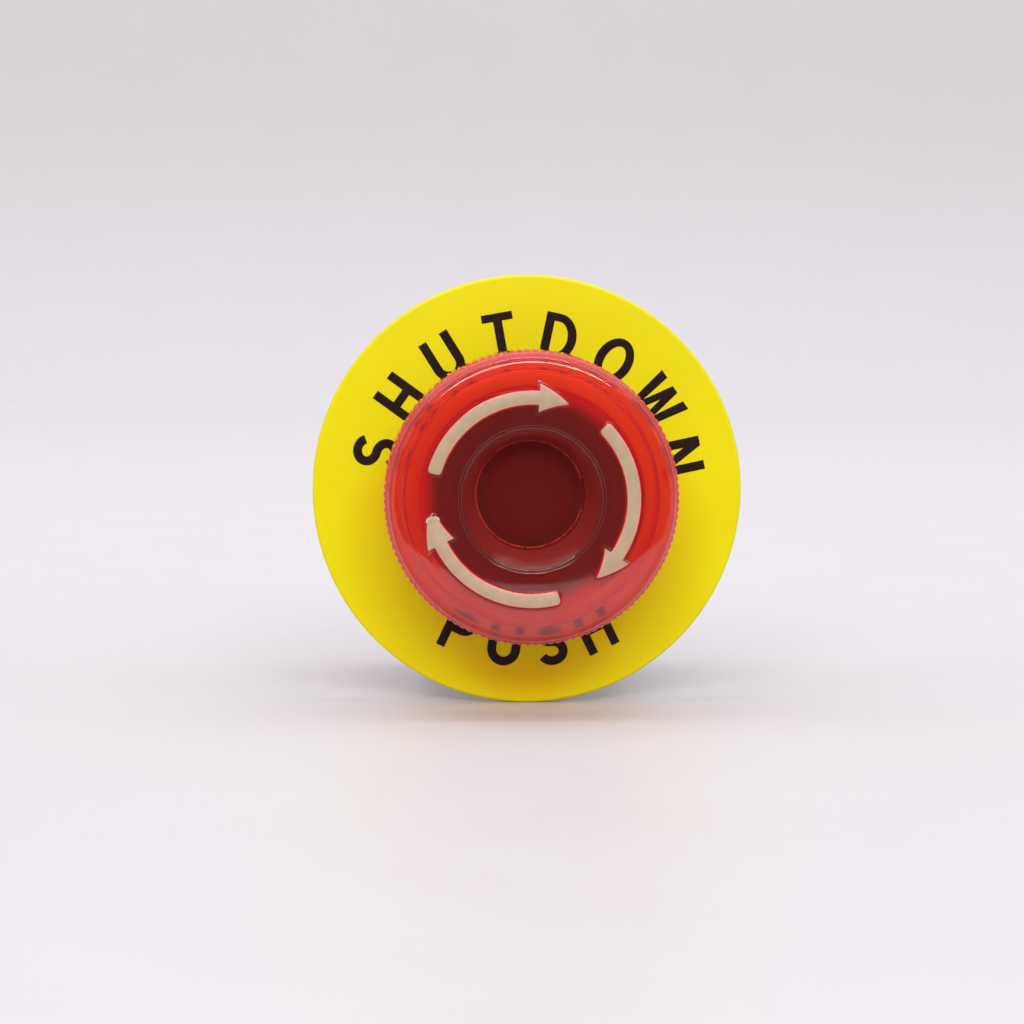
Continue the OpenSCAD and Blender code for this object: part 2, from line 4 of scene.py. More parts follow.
import bmesh
import bpy
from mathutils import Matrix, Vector


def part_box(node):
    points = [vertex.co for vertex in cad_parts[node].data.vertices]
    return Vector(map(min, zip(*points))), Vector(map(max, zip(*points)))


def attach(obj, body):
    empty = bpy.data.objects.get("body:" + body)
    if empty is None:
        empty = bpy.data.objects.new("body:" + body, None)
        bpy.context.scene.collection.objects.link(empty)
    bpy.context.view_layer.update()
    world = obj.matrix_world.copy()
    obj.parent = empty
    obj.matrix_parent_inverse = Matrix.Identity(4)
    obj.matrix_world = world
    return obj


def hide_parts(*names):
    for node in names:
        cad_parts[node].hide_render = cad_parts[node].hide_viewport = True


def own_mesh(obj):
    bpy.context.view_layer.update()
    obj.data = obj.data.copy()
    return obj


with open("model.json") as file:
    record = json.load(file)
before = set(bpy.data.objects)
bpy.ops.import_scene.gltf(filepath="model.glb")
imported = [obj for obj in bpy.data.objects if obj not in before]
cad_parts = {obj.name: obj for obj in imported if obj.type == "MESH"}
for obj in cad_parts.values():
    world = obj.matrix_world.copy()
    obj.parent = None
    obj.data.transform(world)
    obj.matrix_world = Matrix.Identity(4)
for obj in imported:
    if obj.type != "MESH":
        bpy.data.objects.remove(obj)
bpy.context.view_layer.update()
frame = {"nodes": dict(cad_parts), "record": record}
MM = 0.001

# The object's axis runs along Y. Shapes round it are worked out as (radius, angle, height) in
# millimetres, with the height towards the person who presses, so height is -Y.


def at(r, angle, height):
    a = math.radians(angle)
    return Vector((r * math.cos(a) * MM, -height * MM, r * math.sin(a) * MM))


def height_range(node):
    """The lowest and highest height of a CAD node, in millimetres."""
    low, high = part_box(node)
    return -high.y / MM, -low.y / MM


def radius_of(node):
    low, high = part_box(node)
    return (high.z - low.z) / 2 / MM


PLATE_R = radius_of("legend_plate")
PLATE_FRONT = height_range("legend_plate")[1]
HEAD_R = radius_of("mushroom_head")
HEAD_TOP = height_range("mushroom_head")[1]
HEAD_DEPTH = 12.6
HEAD_BACK = HEAD_TOP - HEAD_DEPTH
FLOOR_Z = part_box("legend_plate")[0].z


# ---- camera ----

LENS_MM = 133.1
SENSOR_MM = 36
PIXELS = 1024
CAMERA_DISTANCE = 0.53
CAMERA_AZIMUTH = 1.95
CAMERA_ELEVATION = 3.7
CAMERA_CLIP = (0.01, 20)
# how far left of and above the picture's middle the plate's centre is
PLATE_LEFT_PX = 15.1
PLATE_UP_PX = 22.6


def make_camera():
    data = bpy.data.cameras.new("camera")
    data.lens = LENS_MM
    data.sensor_width = SENSOR_MM
    data.clip_start, data.clip_end = CAMERA_CLIP
    camera = bpy.data.objects.new("camera", data)
    bpy.context.scene.collection.objects.link(camera)
    az, el = math.radians(CAMERA_AZIMUTH), math.radians(CAMERA_ELEVATION)
    plate = Vector((0, -PLATE_FRONT * MM, 0))
    back = Vector((-math.sin(az) * math.cos(el), -math.cos(az) * math.cos(el), math.sin(el)))
    camera.location = plate + back * CAMERA_DISTANCE
    per_px = CAMERA_DISTANCE * SENSOR_MM / LENS_MM / PIXELS
    target = plate - Vector((PLATE_LEFT_PX, 0, PLATE_UP_PX)) * per_px
    camera.rotation_euler = (target - camera.location).to_track_quat("-Z", "Y").to_euler()
    bpy.context.scene.camera = camera


make_camera()


# ---- mesh helpers ----


def new_object(name, mesh, smooth_angle=None):
    obj = bpy.data.objects.new(name, mesh)
    bpy.context.scene.collection.objects.link(obj)
    if smooth_angle is not None:
        mesh.shade_smooth()
        mesh.set_sharp_from_angle(angle=math.radians(smooth_angle))
    return obj


def finish_mesh(name, bm, smooth_angle=None):
    """Makes an object of a closed bmesh, with its faces turned outward."""
    bmesh.ops.recalc_face_normals(bm, faces=bm.faces)
    mesh = bpy.data.meshes.new(name)
    bm.to_mesh(mesh)
    bm.free()
    return new_object(name, mesh, smooth_angle)


def lathe(name, profile, steps, offset=None, smooth_angle=35, closed=True, looks=None):
    """Turns a profile of (radius, height) about the axis. A point at radius 0 becomes one vertex.
    offset(r, angle, height, index) returns the moved (r, height), and looks gives the number of
    the material of the stretch that starts at each point."""
    bm = bmesh.new()
    rings = []
    for index, (r, h) in enumerate(profile):
        if r < 1e-6:
            rings.append([bm.verts.new(at(0, 0, h))])
            continue
        ring = []
        for s in range(steps):
            angle = 360 * s / steps
            rr, hh = offset(r, angle, h, index) if offset else (r, h)
            ring.append(bm.verts.new(at(rr, angle, hh)))
        rings.append(ring)
    pairs = list(zip(rings, rings[1:]))
    if closed:
        pairs.append((rings[-1], rings[0]))
    for index, (a, b) in enumerate(pairs):
        if len(a) == 1 and len(b) == 1:
            continue
        for s in range(steps):
            t = (s + 1) % steps
            corners = [a[s % len(a)], a[t % len(a)], b[t % len(b)], b[s % len(b)]]
            unique = [v for i, v in enumerate(corners) if v not in corners[:i]]
            bm.faces.new(unique).material_index = looks[index] if looks else 0
    return finish_mesh(name, bm, smooth_angle)


def arc(cx, cy, rx, ry, start, end, steps):
    """Points along part of an ellipse, from one angle to another in degrees."""
    out = []
    for i in range(steps + 1):
        a = math.radians(start + (end - start) * i / steps)
        out.append((cx + rx * math.cos(a), cy + ry * math.sin(a)))
    return out


# ---- materials ----


class Look:
    """One node material built round a Principled shader."""

    def __init__(self, name, color, roughness=0.4, **sockets):
        self.mat = bpy.data.materials.new(name)
        self.mat.use_nodes = True
        self.tree = self.mat.node_tree
        self.bsdf = self.tree.nodes["Principled BSDF"]
        self.out = self.tree.nodes["Material Output"]
        self.color = color
        self.bsdf.inputs["Base Color"].default_value = (*color, 1)
        self.bsdf.inputs["Roughness"].default_value = roughness
        for key, value in sockets.items():
            self.bsdf.inputs[key.replace("_", " ")].default_value = value
        self.coords = self.node("ShaderNodeTexCoord").outputs["Object"]

    def node(self, kind, **settings):
        n = self.tree.nodes.new(kind)
        for key, value in settings.items():
            setattr(n, key, value)
        return n

    def link(self, a, b):
        self.tree.links.new(a, b)

    def noise(self, scale, detail):
        noise = self.node("ShaderNodeTexNoise")
        noise.inputs["Scale"].default_value = scale
        noise.inputs["Detail"].default_value = detail
        self.link(self.coords, noise.inputs["Vector"])
        return noise.outputs["Fac"]

    def ramp(self, value, low, high):
        """Maps noise, which stays near 0.5, so that its usual range spans low to high."""
        spread = self.node("ShaderNodeMapRange")
        spread.inputs["From Min"].default_value = 0.3
        spread.inputs["From Max"].default_value = 0.7
        spread.inputs["To Min"].default_value = low
        spread.inputs["To Max"].default_value = high
        self.link(value, spread.inputs["Value"])
        return spread.outputs["Result"]

    def vary_roughness(self, scale, low, high):
        rough = self.ramp(self.noise(scale, 4), low, high)
        self.link(rough, self.bsdf.inputs["Roughness"])
        return self

    def vary_color(self, scale, amount):
        """Lets the colour drift by a share of itself either way."""
        lift = amount * 0.004
        mix = self.node("ShaderNodeMix", data_type="RGBA")
        mix.inputs["A"].default_value = (*[c * (1 - amount) for c in self.color], 1)
        mix.inputs["B"].default_value = (*[min(1, c * (1 + amount) + lift) for c in self.color], 1)
        self.link(self.ramp(self.noise(scale, 3), 0, 1), mix.inputs["Factor"])
        self.link(mix.outputs["Result"], self.bsdf.inputs["Base Color"])
        return self

    def bump(self, scale, height_mm, detail=3, strength=1.0):
        """Adds a bump over any that the material already has."""
        bump = self.node("ShaderNodeBump")
        bump.inputs["Strength"].default_value = strength
        bump.inputs["Distance"].default_value = height_mm * MM
        self.link(self.noise(scale, detail), bump.inputs["Height"])
        previous = self.bsdf.inputs["Normal"].links
        if previous:
            self.link(previous[0].from_socket, bump.inputs["Normal"])
        self.link(bump.outputs["Normal"], self.bsdf.inputs["Normal"])
        return self

    def blend_color(self, value, start, end, color, curve="SMOOTHSTEP"):
        """Blends to another colour as a value goes from start to end."""
        spread = self.node("ShaderNodeMapRange", interpolation_type=curve)
        spread.inputs["From Min"].default_value = start
        spread.inputs["From Max"].default_value = end
        self.link(value, spread.inputs["Value"])
        mix = self.node("ShaderNodeMix", data_type="RGBA")
        mix.inputs["A"].default_value = (*self.color, 1)
        mix.inputs["B"].default_value = (*color, 1)
        self.link(spread.outputs["Result"], mix.inputs["Factor"])
        self.link(mix.outputs["Result"], self.bsdf.inputs["Base Color"])
        return self

    def shade_along(self, axis, start, end, color):
        """Blends to another colour along one axis, in metres."""
        split = self.node("ShaderNodeSeparateXYZ")
        self.link(self.coords, split.inputs["Vector"])
        return self.blend_color(split.outputs[axis], start, end, color)

    def shade_outward(self, inner_mm, outer_mm, color):
        """Blends to another colour with the distance from the object's axis."""
        flat = self.node("ShaderNodeVectorMath", operation="MULTIPLY")
        self.link(self.coords, flat.inputs[0])
        flat.inputs[1].default_value = (1, 0, 1)
        radius = self.node("ShaderNodeVectorMath", operation="LENGTH")
        self.link(flat.outputs["Vector"], radius.inputs[0])
        return self.blend_color(
            radius.outputs["Value"], inner_mm * MM, outer_mm * MM, color, "SMOOTHERSTEP")

    def clear_to_light(self, color):
        """Lets lamps shine through, as real glass does, without waiting for caustics."""
        clear = self.node("ShaderNodeBsdfTransparent")
        clear.inputs["Color"].default_value = (*color, 1)
        path = self.node("ShaderNodeLightPath")
        mix = self.node("ShaderNodeMixShader")
        self.link(path.outputs["Is Shadow Ray"], mix.inputs["Fac"])
        self.link(self.bsdf.outputs["BSDF"], mix.inputs[1])
        self.link(clear.outputs["BSDF"], mix.inputs[2])
        self.link(mix.outputs["Shader"], self.out.inputs["Surface"])
        return self


def moulded(name, color, low, high, grain=0.012):
    """Moulded plastic with a fine spark-eroded grain and slight unevenness."""
    look = Look(name, color, IOR=1.5)
    look.vary_color(90, 0.06).vary_roughness(700, low, high)
    return look.bump(5200, grain, 2).bump(160, 0.01, 2, strength=0.5).mat


def metal(name, color, low, high):
    """Bare or plated metal with a fine uneven finish."""
    look = Look(name, color, Metallic=1.0)
    look.vary_color(260, 0.08).vary_roughness(900, low, high)
    return look.bump(2600, 0.004).mat


HEAD_RED = (0.885, 0.077, 0.069)
# the colour of lamplight that has come through the head
LIGHT_RED = (0.66, 0.06, 0.035)


def red_plastic(name, color, clear, low, high, ior=1.5):
    """Clear red plastic: how much passes through it and how rough it is."""
    look = Look(name, color, IOR=ior)
    look.bsdf.inputs["Transmission Weight"].default_value = clear
    return look.vary_roughness(380, low, high).bump(140, 0.004, 2).clear_to_light(LIGHT_RED)


head_look = red_plastic("head_red", HEAD_RED, 0.9, 0.015, 0.05)
cup_look = red_plastic("head_red_cup", HEAD_RED, 0.75, 0.32, 0.42, 1.3)
inner_look = red_plastic("head_red_inner", HEAD_RED, 0.9, 0.21, 0.26)
skirt_look = red_plastic("head_red_skirt", (0.82, 0.06, 0.07), 0.68, 0.08, 0.15)
# painted shade: a dark lining under the head's face stands in for the shade inside the head, and
# fades out to a dull red towards the rim
painted_shade_look = Look("head_red_painted_shade", (0.03, 0.0015, 0.0015), 0.6, IOR=1.5, Specular_IOR_Level=0.0)
painted_shade_look.shade_outward(12.0, 15.6, (0.46, 0.052, 0.034)).vary_roughness(600, 0.5, 0.7)

plate_look = Look("plate_yellow", (0.645, 0.572, 0.0015), IOR=1.48, Specular_IOR_Level=0.12)
plate_look.vary_color(70, 0.03).vary_roughness(900, 0.34, 0.46)
plate_look.bump(4200, 0.006, 2).bump(60, 0.012, 2, strength=0.4)

ink_look = Look("legend_ink", (0.011, 0.003, 0.0005), IOR=1.5, Specular_IOR_Level=0.12)
ink_look.vary_color(400, 0.3).vary_roughness(1500, 0.3, 0.5).bump(5000, 0.004, 2)

arrow_look = Look("arrow_beige", (0.36, 0.254, 0.15), IOR=1.5)
arrow_look.vary_color(900, 0.07).vary_roughness(1500, 0.4, 0.55).bump(6000, 0.006, 2)

# painted highlight: a light pink for the print's rounded sides and ends, standing in for the
# highlights on the boss's edges
arrow_painted_highlight_look = Look("arrow_painted_highlight", (0.8, 0.55, 0.45), IOR=1.5)
arrow_painted_highlight_look.vary_color(900, 0.05).vary_roughness(1500, 0.2, 0.35)

glass_look = Look("lamp_glass_red", (0.75, 0.08, 0.06), 0.4, IOR=1.5)
glass_look.bsdf.inputs["Transmission Weight"].default_value = 0.8
glass_look.vary_roughness(600, 0.35, 0.5).clear_to_light((0.8, 0.25, 0.2))

LOOKS = {
    "head_red": head_look.mat,
    "plate_yellow": plate_look.mat,
    "arrow_beige": arrow_look.mat,
    "lamp_glass_red": glass_look.mat,
    "black_plastic": moulded("black_plastic", (0.022, 0.022, 0.024), 0.32, 0.5),
    "seal_rubber": moulded("seal_rubber", (0.02, 0.02, 0.02), 0.6, 0.8, 0.02),
    "lever_grey": moulded("lever_grey", (0.09, 0.09, 0.1), 0.35, 0.5),
    "ivory_plastic": moulded("ivory_plastic", (0.72, 0.68, 0.56), 0.35, 0.5),
    "pawl_blue": moulded("pawl_blue", (0.05, 0.14, 0.36), 0.3, 0.45),
    "nc_red": moulded("nc_red", (0.42, 0.02, 0.018), 0.32, 0.48),
    "no_green": moulded("no_green", (0.02, 0.2, 0.07), 0.32, 0.48),
    "led_white": moulded("led_white", (0.8, 0.8, 0.76), 0.1, 0.2, 0.002),
    "steel": metal("steel", (0.62, 0.62, 0.6), 0.22, 0.4),
    "spring_steel": metal("spring_steel", (0.55, 0.55, 0.57), 0.18, 0.3),
    "brass": metal("brass", (0.78, 0.56, 0.22), 0.2, 0.36),
    "nickel": metal("nickel", (0.68, 0.65, 0.58), 0.12, 0.25),
}


def paint(obj, *looks):
    """Gives an object its materials. Clearing a list resets the faces' material numbers, so a new
    mesh's empty list isn't cleared."""
    if obj.data.materials:
        obj.data.materials.clear()
    for look in looks:
        obj.data.materials.append(look)


slot_of = {row["node"]: row["material_slot"] for row in frame["record"]["subparts"]}
for node_name, node_obj in frame["nodes"].items():
    paint(node_obj, LOOKS[slot_of[node_name]])


def add_piece(obj, body, slot, looks=(), replaces=()):
    """Paints a new piece and puts it on its body, in place of the CAD nodes that it replaces."""
    paint(obj, *(looks or [LOOKS[slot]]))
    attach(obj, body)
    if replaces:
        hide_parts(*replaces)


# ---- legend plate ----

PLATE_HOLE_R = 11.25
PLATE_EDGE_ROUND = 0.45
PLATE_BACK_ROUND = 0.2
PLATE_HOLE_BEVEL = 0.2
PLATE_STEPS = 288


def make_plate():
    front, back = PLATE_EDGE_ROUND, PLATE_BACK_ROUND
    top = PLATE_FRONT
    profile = [(PLATE_HOLE_R, 0)]
    profile += arc(PLATE_R - back, back, back, back, -90, 0, 4)
    profile += arc(PLATE_R - front, top - front, front, front, 0, 90, 8)
    profile += [(PLATE_HOLE_R + PLATE_HOLE_BEVEL, top), (PLATE_HOLE_R, top - PLATE_HOLE_BEVEL)]
    plate = lathe("legend_plate_disc", profile, PLATE_STEPS)
    add_piece(plate, "housing", "plate_yellow", replaces=["legend_plate"])


make_plate()


# ---- lettering: plain block capitals of the builder's own, cap height 1 ----

STEM = 0.19
BAR = 0.17
CAP_INNER_R = 18.4
CAP_OUTER_R = 25.0
INK_MM = 0.03
INK_GAP_MM = 0.002
WELD_M = 1e-7
UPPER_WORD = "SHUTDOWN"
LOWER_WORD = "PUSH"
# the angles of the first and the last letter
UPPER_ARC = (166, 12)
LOWER_ARC = (244.5, 296)


def stroke(path):
    """The outline of a stroke of even width along a path."""
    left, right = [], []
    for i, (x, y) in enumerate(path):
        x0, y0 = path[max(i - 1, 0)]
        x1, y1 = path[min(i + 1, len(path) - 1)]
        length = math.hypot(x1 - x0, y1 - y0)
        nx, ny = -(y1 - y0) / length * STEM / 2, (x1 - x0) / length * STEM / 2
        left.append((x + nx, y + ny))
        right.append((x - nx, y - ny))
    return left + right[::-1]


def glyph_s():
    w, half = 0.66, STEM / 2
    rise = (1 - STEM) / 4
    upper = arc(w / 2, 0.5 + rise, w / 2 - half, rise, 25, 270, 22)
    lower = arc(w / 2, 0.5 - rise, w / 2 - half, rise, 90, -155, 22)
    return w, [stroke(upper + lower[1:])]


def glyph_h():
    w, s, low, high = 0.7, STEM, 0.41, 0.59
    return w, [[(0, 0), (s, 0), (s, low), (w - s, low), (w - s, 0), (w, 0),
                (w, 1), (w - s, 1), (w - s, high), (s, high), (s, 1), (0, 1)]]


def glyph_u():
    w, half = 0.7, STEM / 2
    bend = w / 2 - half
    path = [(half, 1), (half, bend + half + 0.02)]
    path += arc(w / 2, bend + half, bend, bend, 180, 360, 20)
    path += [(w - half, bend + half + 0.02), (w - half, 1)]
    return w, [stroke(path)]


def glyph_t():
    w, s, low = 0.66, STEM, 1 - BAR
    return w, [[(w / 2 - s / 2, 0), (w / 2 + s / 2, 0), (w / 2 + s / 2, low), (w, low),
                (w, 1), (0, 1), (0, low), (w / 2 - s / 2, low)]]


def glyph_d():
    w, s, bow = 0.72, STEM, 0.42
    outer = [(0, 1), (0, 0)] + arc(w - bow, 0.5, bow, 0.5, -90, 90, 22)
    inner = [(s, 1 - BAR), (s, BAR)] + arc(w - bow, 0.5, bow - s, 0.5 - BAR, -90, 90, 22)
    return w, [outer, inner]


def glyph_o():
    w, s, half_h = 0.78, STEM, 0.51
    outer = arc(w / 2, 0.5, w / 2, half_h, 0, 360, 40)[:-1]
    inner = arc(w / 2, 0.5, w / 2 - s, half_h - BAR, 0, 360, 40)[:-1]
    return w, [outer, inner]


def glyph_w():
    w, s = 1.0, STEM * 1.05
    return w, [[(0, 1), (0.19, 0), (0.38, 0), (0.5, 0.62), (0.62, 0), (0.81, 0), (w, 1),
                (w - s, 1), (0.705, 0.32), (0.585, 1), (0.415, 1), (0.295, 0.32), (s, 1)]]


def glyph_n():
    w, s = 0.72, STEM
    return w, [[(0, 0), (s, 0), (s, 0.64), (w - s * 1.1, 0), (w, 0), (w, 1),
                (w - s, 1), (w - s, 0.36), (s * 1.1, 1), (0, 1)]]


def glyph_p():
    w, s, waist = 0.68, STEM, 0.38
    mid, bow = (1 + waist) / 2, (1 - waist) / 2
    outer = [(0, 1), (0, 0), (s, 0), (s, waist)] + arc(w - bow, mid, bow, bow, -90, 90, 20)
    inner = [(s, 1 - BAR), (s, waist + BAR)] + arc(w - bow, mid, bow - s, bow - BAR, -90, 90, 20)
    return w, [outer, inner]


GLYPHS = {"S": glyph_s, "H": glyph_h, "U": glyph_u, "T": glyph_t, "D": glyph_d,
          "O": glyph_o, "W": glyph_w, "N": glyph_n, "P": glyph_p}


def letter(name, char, angle, tops_out):
    """One capital as thin ink on the plate, upright along the radius at the angle."""
    size = CAP_OUTER_R - CAP_INNER_R
    width, loops = GLYPHS[char]()
    curve = bpy.data.curves.new(name, "CURVE")
    curve.dimensions = "2D"
    curve.fill_mode = "BOTH"
    curve.extrude = INK_MM / 2 * MM
    for loop in loops:
        spline = curve.splines.new("POLY")
        spline.points.add(len(loop) - 1)
        spline.use_cyclic_u = True
        for point, (x, y) in zip(spline.points, loop):
            point.co = ((x - width / 2) * size * MM, (y - 0.5) * size * MM, 0, 1)
    flat = bpy.data.objects.new(name, curve)
    bpy.context.scene.collection.objects.link(flat)
    bpy.context.view_layer.update()
    solid = flat.evaluated_get(bpy.context.evaluated_depsgraph_get())
    mesh = bpy.data.meshes.new_from_object(solid)
    bpy.data.objects.remove(flat)
    middle = (CAP_INNER_R + CAP_OUTER_R) / 2
    turn = math.radians(angle - 90 if tops_out else angle + 90)
    centre = at(middle, angle, PLATE_FRONT + INK_MM / 2 + INK_GAP_MM)
    for v in mesh.vertices:
        x, y, z = v.co
        v.co = (centre.x + x * math.cos(turn) - y * math.sin(turn),
                centre.y - z,
                centre.z + x * math.sin(turn) + y * math.cos(turn))
    bm = bmesh.new()
    bm.from_mesh(mesh)
    bpy.data.meshes.remove(mesh)
    bmesh.ops.remove_doubles(bm, verts=bm.verts, dist=WELD_M)
    add_piece(finish_mesh(name, bm), "housing", "plate_yellow", [ink_look.mat])


def write_arc(label, word, first, last, tops_out):
    """A word round the plate, with the tops of its letters outward or inward."""
    for i, char in enumerate(word):
        angle = first + (last - first) * i / (len(word) - 1)
        letter(f"legend_{label}_{i + 1}", char, angle, tops_out)


write_arc("upper", UPPER_WORD, *UPPER_ARC, True)
write_arc("lower", LOWER_WORD, *LOWER_ARC, False)


# ---- head ----

RECESS_R = 9.35
RECESS_FLOOR_R = 7.7
RECESS_FLOOR = HEAD_TOP - 9.1
# the hub under the recess, which sits on the core
HUB_R = 7.5
HUB_BORE_R = 6.2
HUB_FLOOR = HEAD_TOP - 10.6
HUB_END = HEAD_TOP - 14.3
FACE_THICK = 2.8
RIM_THICK = 2.6
# how far out the dark lining of painted shade reaches under the face
PAINTED_SHADE_R = 15.3
SHOULDER_R = HEAD_R - 0.6
SHOULDER_ROUND = 1.2
CROWN_R = 10.05
LIP_DROP = 0.2
FACE_SAG = 0.09
KNURL_TOP = HEAD_TOP - 2.2
KNURL_RIBS = 120
KNURL_DEPTH = 0.22
STEPS_PER_RIB = 6
RIB_SHAPE = (0.0, 0.62, 0.95, 1.0, 0.95, 0.62)
ARROW_MID = 13.7
ARROW_W = 1.75
ARROW_TAIL_ROUND = 0.55
ARROW_HALF = 1.85
ARROW_HEAD_DEG = 16.5
ARROW_SWEEP_DEG = 93.5
ARROW_BEFORE_DEG = 40
# the angle of each arrow's tail, and the radius of its tip: the third one's tip is blunt
ARROWS = ((163, 0.0), (43, 0.0), (-77, 0.75))
BOSS_RISE = 0.42
BOSS_MARGIN = 0.05
BOSS_WALL = 0.26
FACE_RINGS = 66


def face_height(r):
    """The height of the head's nearly flat face at a radius."""
    t = max(0.0, (r - CROWN_R) / (SHOULDER_R - SHOULDER_ROUND - CROWN_R))
    return HEAD_TOP - FACE_SAG * t ** 3


def outside_arrow(r, angle):
    """How far a point of the face lies outside the nearest arrow, in millimetres."""
    best = math.inf
    per_degree = math.radians(1) * ARROW_MID
    neck = (ARROW_SWEEP_DEG - ARROW_HEAD_DEG) * per_degree
    tip = ARROW_SWEEP_DEG * per_degree
    across = abs(r - ARROW_MID)
    for tail, tip_r in ARROWS:
        turned = (tail - angle + ARROW_BEFORE_DEG) % 360 - ARROW_BEFORE_DEG
        along = turned * per_degree
        beside = max(0.0, across - ARROW_W / 2 + ARROW_TAIL_ROUND)
        shaft = math.hypot(max(0.0, -along), beside) - ARROW_TAIL_ROUND
        end = tip - tip_r
        slope = (ARROW_HALF - tip_r) / (end - neck)
        if along < end:
            flank = (across - tip_r - (end - along) * slope) / math.hypot(1, slope)
        else:
            flank = math.hypot(along - end, across) - tip_r
        best = min(best, max(shaft, along - neck), max(flank, neck - along))
    return best


def boss_lift(r, angle):
    """How far the arrow bosses raise the face at a point."""
    t = (outside_arrow(r, angle) - BOSS_MARGIN) / BOSS_WALL
    t = min(1.0, max(0.0, t))
    return BOSS_RISE * (1 - t * t * (3 - 2 * t))


def head_profile():
    """The outline of the head's wall, from the axis round to the axis again, as points and the
    kind of the stretch that starts at each."""
    parts = []

    def add(part, points):
        parts.extend((p, part) for p in points)

    inside_r, inside_top = HEAD_R - RIM_THICK, HEAD_TOP - FACE_THICK
    soft, round_in = 0.4, 0.5
    # the stretches under the face and round the hub take the dark lining of painted shade
    add("painted_shade", [(0, HUB_FLOOR), (HUB_BORE_R - soft, HUB_FLOOR)])
    add("painted_shade", [(HUB_BORE_R, HUB_FLOOR - soft), (HUB_BORE_R, HUB_END)])
    add("painted_shade", [(HUB_R, HUB_END), (HUB_R, HUB_FLOOR + 0.3)])
    add("painted_shade", [(RECESS_FLOOR_R + 1.7, HUB_FLOOR + 0.7)])
    add("painted_shade", arc(RECESS_R + 2.1, inside_top - round_in, round_in, round_in, 165, 90, 5))
    add("inner", [(PAINTED_SHADE_R, inside_top)])
    add("inner", arc(inside_r - soft, inside_top - soft, soft, soft, 90, 0, 5))
    add("inner", [(inside_r, HEAD_BACK + 0.2), (inside_r + 0.2, HEAD_BACK)])

    back_round, valley_r = 0.3, HEAD_R - KNURL_DEPTH
    add("skirt", arc(HEAD_R - 0.65, HEAD_BACK + back_round, back_round, back_round, -90, 0, 4))
    add("knurl_end", [(valley_r, HEAD_BACK + 0.5)])
    add("knurl", [(valley_r, HEAD_BACK + 0.85)])
    add("knurl", [(valley_r, KNURL_TOP - 0.45)])
    add("knurl_end", [(valley_r, KNURL_TOP - 0.1)])
    add("skirt", [(SHOULDER_R + 0.2, KNURL_TOP + 0.05), (SHOULDER_R, KNURL_TOP + 0.4)])

    add("plain", arc(SHOULDER_R - SHOULDER_ROUND, HEAD_TOP - FACE_SAG - SHOULDER_ROUND,
                     SHOULDER_ROUND, SHOULDER_ROUND, 0, 88, 12))
    face_out = ARROW_MID + ARROW_HALF + 0.6
    face_in = ARROW_MID - ARROW_HALF - 0.6
    for i in range(FACE_RINGS + 1):
        r = face_out - (face_out - face_in) * i / FACE_RINGS
        add("face", [(r, face_height(r))])

    lip, lip_round = HEAD_TOP - LIP_DROP, 0.32
    add("plain", arc(CROWN_R, lip, LIP_DROP, LIP_DROP, 90, 170, 5))
    add("plain", [(CROWN_R - LIP_DROP - 0.03, lip)])
    add("plain", arc(RECESS_R + lip_round, lip - lip_round, lip_round, lip_round, 90, 165, 6))
    add("cup", [(RECESS_R - 0.03, lip - 0.5)])
    add("cup", [(RECESS_FLOOR_R + 0.05, RECESS_FLOOR + 0.15)])
    add("plain", [(RECESS_FLOOR_R - 0.1, RECESS_FLOOR), (4, RECESS_FLOOR), (0, RECESS_FLOOR)])
    return parts


HEAD_LOOKS = [head_look.mat, painted_shade_look.mat, cup_look.mat, inner_look.mat, skirt_look.mat]
# a kind's place in HEAD_LOOKS, where it isn't the first
LOOK_OF_KIND = {"painted_shade": 1, "cup": 2, "inner": 3, "skirt": 4, "knurl": 4, "knurl_end": 4}
HEAD_SMOOTH_DEG = 40


def make_head():
    parts = head_profile()
    kinds = [kind for _, kind in parts]
    steps = KNURL_RIBS * STEPS_PER_RIB

    def offset(r, angle, h, index):
        kind = kinds[index]
        if kind == "knurl":
            rib = RIB_SHAPE[round(angle / 360 * steps) % STEPS_PER_RIB]
            return r + KNURL_DEPTH * rib, h
        if kind == "face":
            return r, h + boss_lift(r, angle)
        return r, h

    looks = [LOOK_OF_KIND.get(kind, 0) for kind in kinds]
    outline = [point for point, _ in parts]
    head = lathe("mushroom_head_shell", outline, steps, offset, HEAD_SMOOTH_DEG, False, looks)
    add_piece(head, "knob", "head_red", HEAD_LOOKS, ["mushroom_head"])


make_head()


# the print's own beige, and the light pink of its painted highlight edges
ARROW_LOOKS = [arrow_look.mat, arrow_painted_highlight_look.mat]
# half of the print's cross section: how far beside its half width, and how far below its top
PRINT_EDGE = ((0.2, 0.16), (0.16, 0.07), (0.05, 0.02), (0.0, 0.0))
PRINT_TOP = BOSS_RISE + 0.03
PRINT_THICK = 0.06
PRINT_SMOOTH_DEG = 60
# how much wider than its boss the print is, along the arrowhead and round a blunt tip
HEAD_WIDER = 0.02
TIP_WIDER = 0.12


